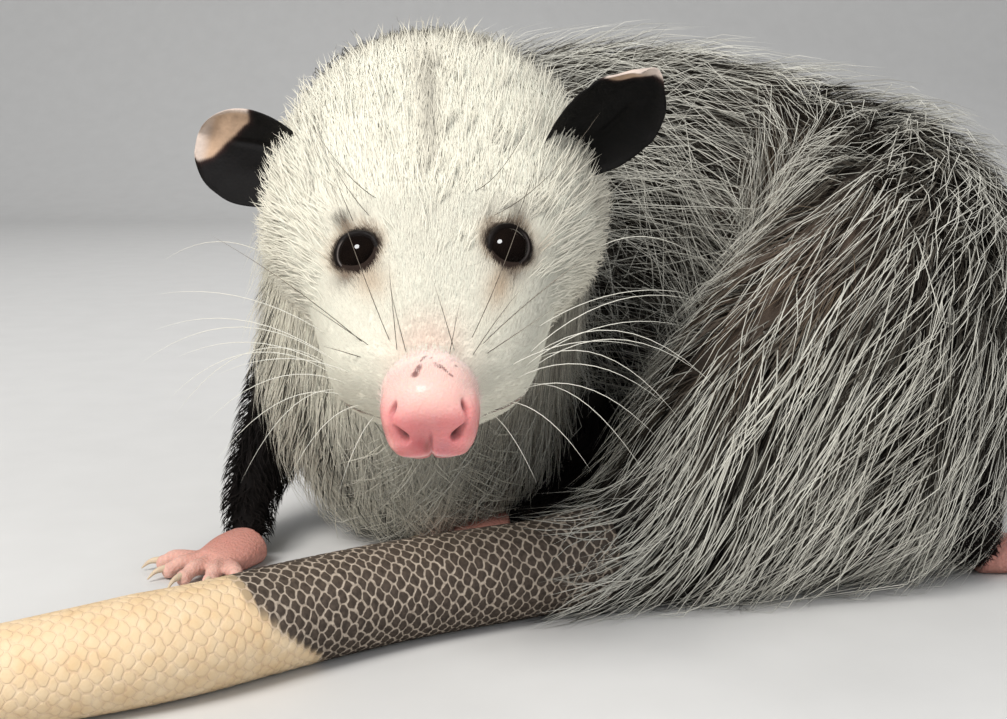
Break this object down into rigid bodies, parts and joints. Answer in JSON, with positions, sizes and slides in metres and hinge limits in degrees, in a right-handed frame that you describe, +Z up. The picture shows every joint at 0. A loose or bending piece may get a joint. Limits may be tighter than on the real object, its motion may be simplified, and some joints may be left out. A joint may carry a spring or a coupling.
{
  "type": "opossum, still life-size model",
  "caption": "Still life-size model of a Virginia opossum lying curled on its belly, head raised and facing forward, tail laid in front of it along the floor.",
  "frame": {"origin": "middle of the model's plan, at the floor", "axes": "+Z up, the face looks along -Y, +X towards the animal's left, where its body bends round"},
  "size_m": [0.441, 0.297, 0.1784],
  "materials": {
    "white_fur": "short dense cream-white fur with smoky rings round the eyes",
    "grey_coat": "black-tipped underfur with long white guard hairs",
    "black_fur": "short black fur",
    "bare_pink_skin": "bare moist pink skin",
    "bare_black_skin": "thin bare black skin with a pale tip",
    "dark_scales": "fine dark brown scales in rings with pale borders",
    "pale_scales": "fine cream-pink scales in rings",
    "eye": "wet black",
    "claw": "translucent horn"
  },
  "bodies": {
    "root": {"head": "white_fur", "nose": "bare_pink_skin", "eye_left": "eye", "eye_right": "eye", "ear_left": "bare_black_skin", "ear_right": "bare_black_skin", "neck": "grey_coat", "torso_front": "grey_coat", "torso_middle": "grey_coat", "torso_side": "grey_coat", "torso_rear": "grey_coat", "forefoot_left": "bare_pink_skin", "forefoot_right": "bare_pink_skin", "hindfoot_left": "bare_pink_skin", "hindfoot_right": "bare_pink_skin", "foreleg_left": "black_fur", "foreleg_right": "black_fur", "hindleg_left": "black_fur", "hindleg_right": "black_fur", "tail_base": "grey_coat", "tail_dark": "dark_scales", "tail_pale": "pale_scales", "tail_bend": "pale_scales", "tail_tip": "pale_scales"}
  },
  "joints": []
}
